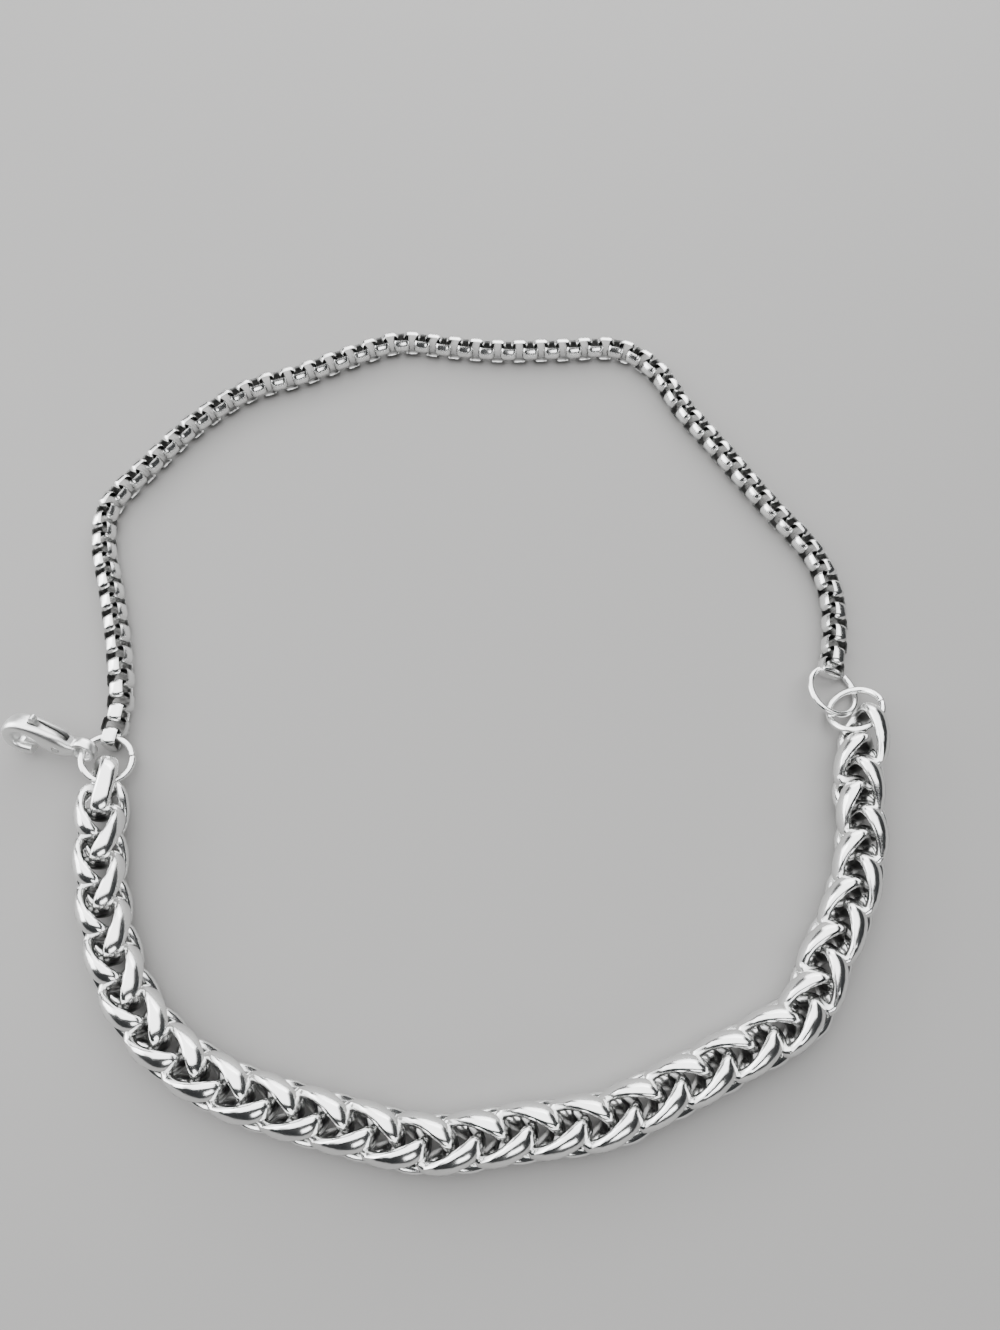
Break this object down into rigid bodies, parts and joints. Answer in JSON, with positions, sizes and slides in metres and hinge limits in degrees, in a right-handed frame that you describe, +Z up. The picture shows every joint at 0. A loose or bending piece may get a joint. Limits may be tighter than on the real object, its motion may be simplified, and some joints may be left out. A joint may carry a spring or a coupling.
{
  "type": "double chain bracelet",
  "caption": "Chain bracelet laid open in a loop: a thick twisted wheat chain and a slim box chain, joined by jump rings and a lobster clasp with a lever that opens.",
  "frame": {"origin": "middle of the laid-out loop, on the surface that it lies on", "axes": "+X to the two linked rings, away from the clasp; +Y to the box chain's side; +Z up"},
  "size_m": [0.1058, 0.1098, 0.0069],
  "materials": {
    "wheat_steel": "polished stainless steel",
    "box_steel": "polished stainless steel",
    "ring_steel": "polished stainless steel wire",
    "clasp_steel": "polished cast stainless steel"
  },
  "bodies": {
    "bracelet": {"wheat_chain": "wheat_steel", "box_chain": "box_steel", "end_link_left": "box_steel", "end_link_right": "box_steel", "jump_ring_left": "ring_steel", "jump_ring_box": "ring_steel", "jump_ring_wheat": "ring_steel", "clasp_body": "clasp_steel", "clasp_rivet": "clasp_steel"},
    "lever": {"clasp_lever": "clasp_steel"}
  },
  "joints": [
    {"name": "lever_pivot", "type": "hinge", "parent": "bracelet", "child": "lever", "pos_m": [-0.04582, -0.00905, 0.00321], "axis": [0.1914, 0.9004, -0.3907], "range_deg": [0, 20], "stiffness_Nm_per_rad": 0.0005}
  ]
}
